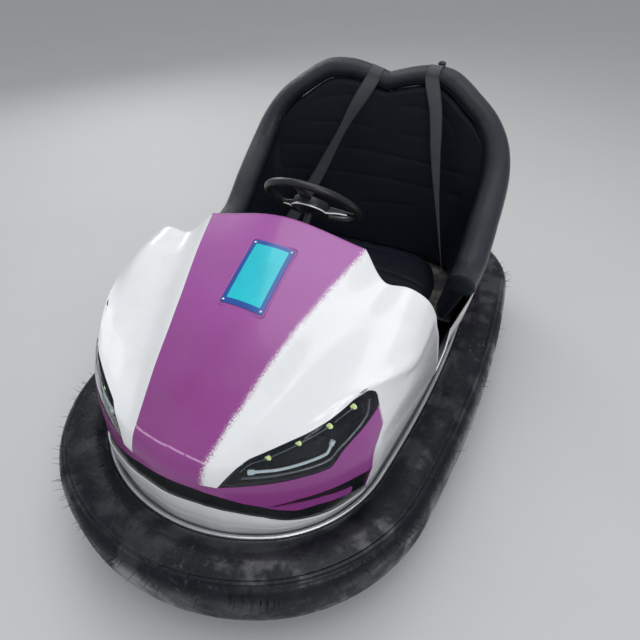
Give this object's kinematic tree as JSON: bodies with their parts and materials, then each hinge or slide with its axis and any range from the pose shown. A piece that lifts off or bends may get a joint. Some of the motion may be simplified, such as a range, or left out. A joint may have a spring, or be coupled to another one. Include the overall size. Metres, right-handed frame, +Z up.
{
  "type": "two-seat bumper car",
  "caption": "Battery bumper car with a rubber bumper ring, moulded front and rear bodies, padded bench, lap belts, steering wheel and a steered driven front wheel.",
  "frame": {"origin": "on the ground under the middle of the car's bounding box", "axes": "front of the car faces -Y, its left side is +X, +Z is up"},
  "size_m": [1.212, 1.932, 1.0099],
  "materials": {
    "floor": "matte black sheet",
    "rails": "satin dark grey paint",
    "rim": "satin grey paint",
    "bumper_rubber": "dusty black rubber",
    "bright_trim": "bright satin metal",
    "body_shell": "gloss white with purple areas",
    "grille": "matte black",
    "lamp_housing": "satin black",
    "lamp_lens": "clear gloss",
    "plate": "cyan face with a blue border",
    "dark_metal": "satin black paint",
    "bracket": "satin grey paint",
    "bare_steel": "bright turned steel",
    "wheel_plastic": "satin black",
    "wheel_grip": "soft black grip",
    "motor": "dark enamel",
    "wheel_hub": "cast satin",
    "wheel_rubber": "solid rubber",
    "tail_lamp": "pale gloss",
    "seat_panel": "matte black board",
    "seat_cover": "black leatherette",
    "roll_cover": "glossy black leatherette",
    "belt_webbing": "dark grey webbing",
    "battery_case": "moulded case"
  },
  "bodies": {
    "chassis": {"floor_pan": "floor", "chassis_rails": "rails", "bumper_rim": "rim", "bumper_tyre": "bumper_rubber", "trim_band": "bright_trim", "front_body": "body_shell", "grille_panel": "grille", "headlamp_housing_left": "lamp_housing", "headlamp_housing_right": "lamp_housing", "headlamp_lens_left": "lamp_lens", "headlamp_lens_right": "lamp_lens", "number_plate": "plate", "toe_board": "dark_metal", "column_mount": "bracket", "accelerator_pedal": "bare_steel", "turntable_ring": "bracket", "rear_bracket_left": "bracket", "rear_bracket_right": "bracket", "rear_body": "body_shell", "tail_lamp_left": "tail_lamp", "tail_lamp_right": "tail_lamp", "seat_frame": "dark_metal", "seat_shell": "seat_panel", "seat_cushion": "seat_cover", "seat_back": "seat_cover", "seat_roll": "roll_cover", "belt_left": "belt_webbing", "belt_right": "belt_webbing", "battery_left": "battery_case", "battery_right": "battery_case"},
    "steering": {"steering_shaft": "bare_steel", "steering_hub": "wheel_plastic", "steering_rim": "wheel_grip"},
    "drive_unit": {"turntable_plate": "dark_metal", "drive_fork": "dark_metal", "drive_motor": "motor"},
    "drive_wheel": {"drive_hub": "wheel_hub", "drive_tyre": "wheel_rubber"},
    "rear_wheel_left": {"rear_hub_left": "wheel_hub", "rear_tyre_left": "wheel_rubber"},
    "rear_wheel_right": {"rear_hub_right": "wheel_hub", "rear_tyre_right": "wheel_rubber"}
  },
  "joints": [
    {"name": "drive_swivel", "type": "hinge", "parent": "chassis", "child": "drive_unit", "pos_m": [0, -0.45, 0.118], "axis": [0, 0, 1], "continuous": true},
    {"name": "steering_turn", "type": "hinge", "parent": "chassis", "child": "steering", "pos_m": [0, 0, 0.745], "axis": [0, 0.7071, 0.7071], "continuous": true},
    {"name": "drive_spin", "type": "hinge", "parent": "drive_unit", "child": "drive_wheel", "pos_m": [0, -0.45, 0.11], "axis": [1, 0, 0], "continuous": true},
    {"name": "rear_spin_left", "type": "hinge", "parent": "chassis", "child": "rear_wheel_left", "pos_m": [0.33, 0.5, 0.1], "axis": [1, 0, 0], "continuous": true},
    {"name": "rear_spin_right", "type": "hinge", "parent": "chassis", "child": "rear_wheel_right", "pos_m": [-0.33, 0.5, 0.1], "axis": [1, 0, 0], "continuous": true}
  ],
  "couplings": [
    {"joint": "steering_turn", "follows": "drive_swivel", "ratio": 1}
  ]
}
